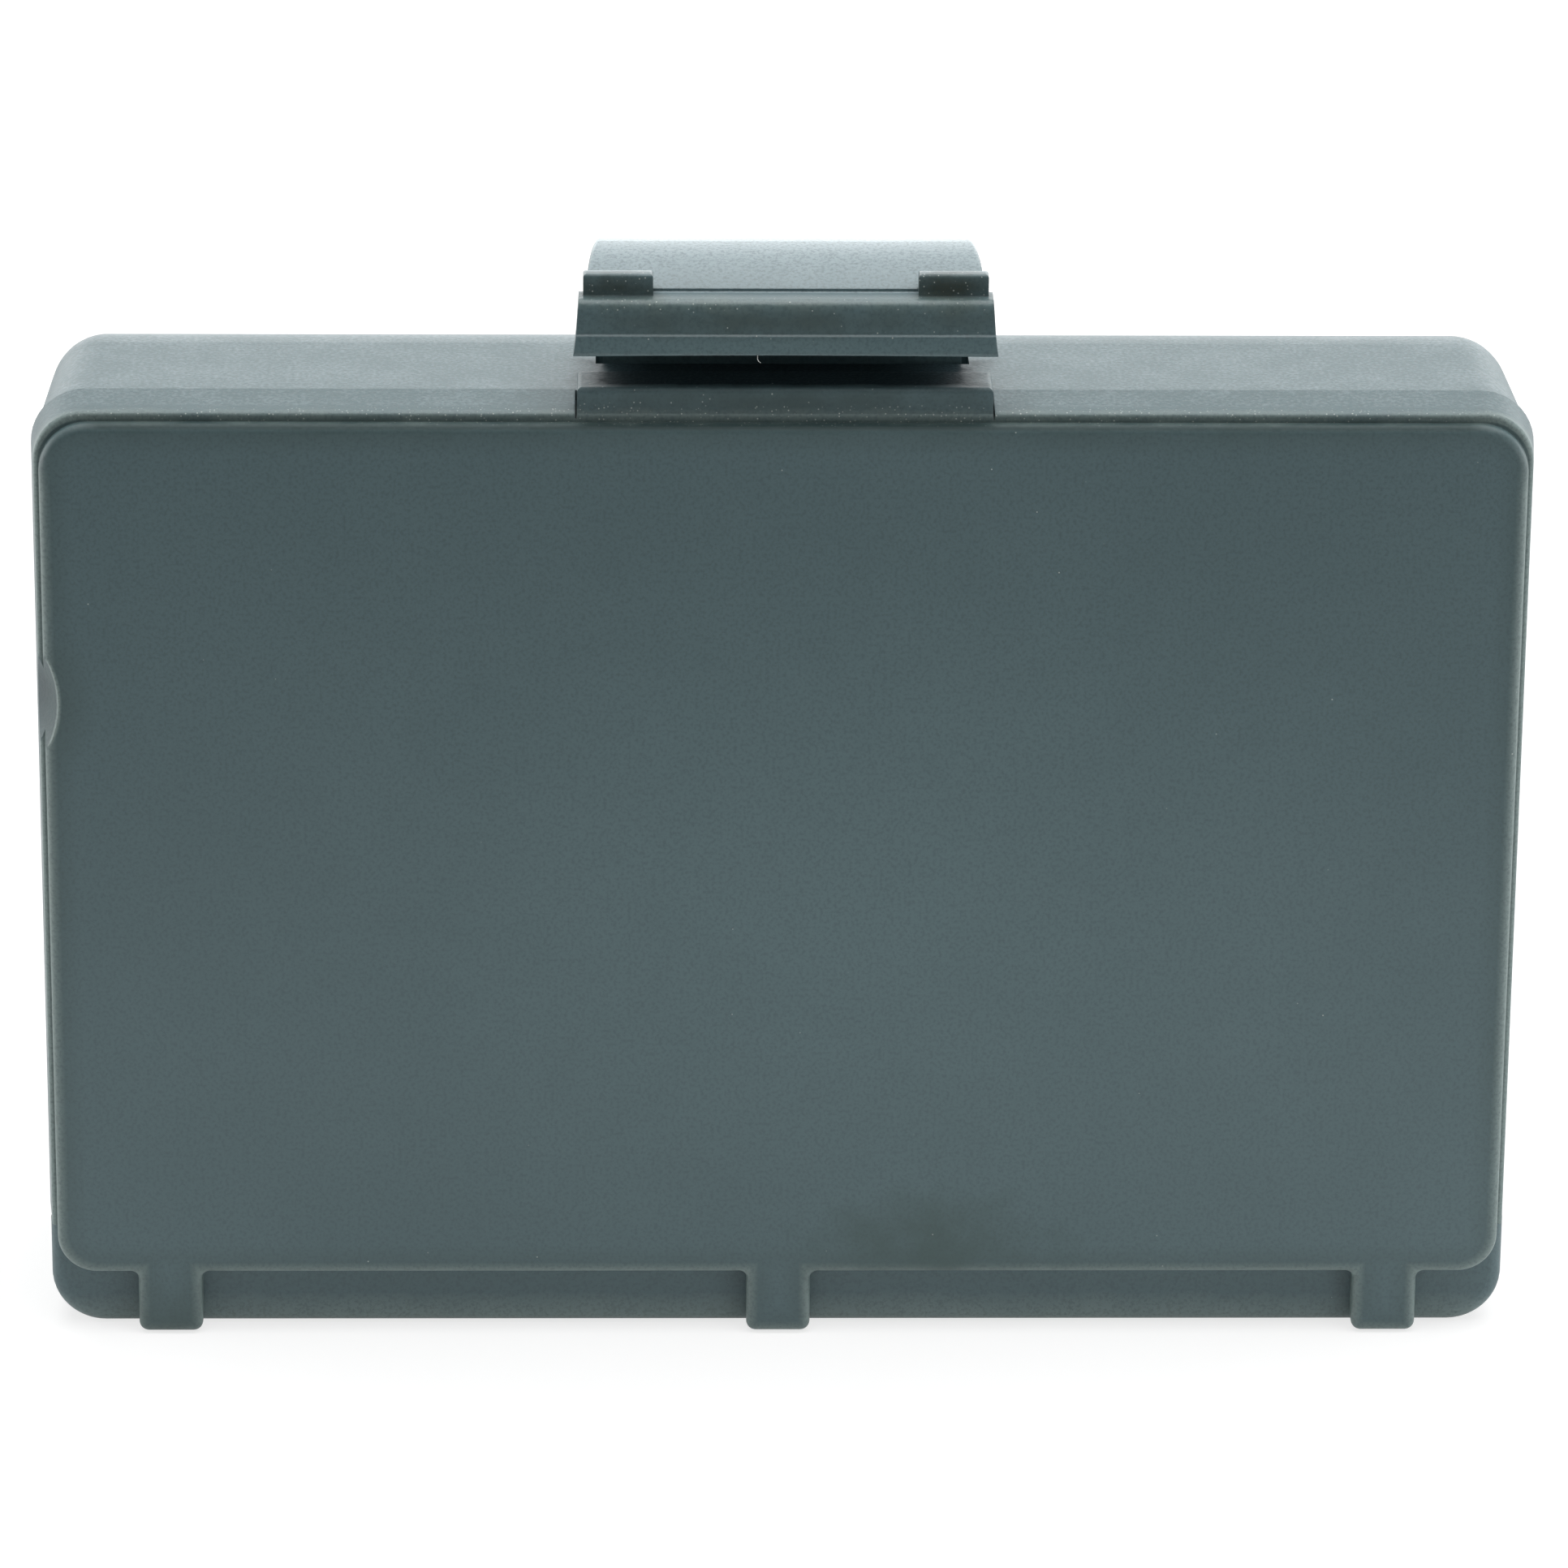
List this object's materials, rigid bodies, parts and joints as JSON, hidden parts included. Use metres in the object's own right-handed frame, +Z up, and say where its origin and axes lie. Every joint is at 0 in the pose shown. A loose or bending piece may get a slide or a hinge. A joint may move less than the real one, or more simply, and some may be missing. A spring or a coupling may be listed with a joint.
{
  "type": "mobile printer battery",
  "caption": "Slim rechargeable battery pack with hook tabs along its lower edge and a sprung release latch on top, for a mobile printer.",
  "frame": {"origin": "under the middle of the pack, on the plane that it stands on", "axes": "+X along the case, to the right seen from the front panel; +Y from the panel to the rear wall; +Z up"},
  "size_m": [0.0848, 0.0228, 0.0642],
  "materials": {
    "case_plastic": "spark-eroded matte",
    "latch_plastic": "spark-eroded matte",
    "cell_sleeve": "shrink sleeve",
    "insulating_card": "pressed card",
    "nickel": "rolled",
    "board_laminate": "solder mask",
    "chip_mould": "moulded",
    "resistor_body": "matte",
    "fuse_body": "moulded",
    "sensor_bead": "dipped resin",
    "holder_plastic": "moulded",
    "contact_plating": "gold flash",
    "foam": "open cell",
    "tape": "tissue"
  },
  "bodies": {
    "pack": {"rear_case": "case_plastic", "front_cover": "case_plastic", "lower_cell": "cell_sleeve", "upper_cell": "cell_sleeve", "lower_cell_ring": "insulating_card", "upper_cell_ring": "insulating_card", "series_strip": "nickel", "positive_strip": "nickel", "negative_strip": "nickel", "circuit_board": "board_laminate", "gauge_chip": "chip_mould", "protection_chip": "chip_mould", "charge_switch": "chip_mould", "discharge_switch": "chip_mould", "sense_resistor": "resistor_body", "thermal_fuse": "fuse_body", "thermistor": "sensor_bead", "contact_holder": "holder_plastic", "board_insulator": "insulating_card", "front_foam": "foam", "lower_cell_tape": "tape", "upper_cell_tape": "tape", "contact_blade_1": "contact_plating", "contact_blade_2": "contact_plating", "contact_blade_3": "contact_plating", "contact_blade_4": "contact_plating", "contact_blade_5": "contact_plating"},
    "latch": {"release_latch": "latch_plastic"}
  },
  "joints": [
    {"name": "latch_press", "type": "hinge", "parent": "pack", "child": "latch", "pos_m": [0, -0.00103, 0.05454], "axis": [1, 0, 0], "range_deg": [0, 9], "stiffness_Nm_per_rad": 0.7}
  ]
}
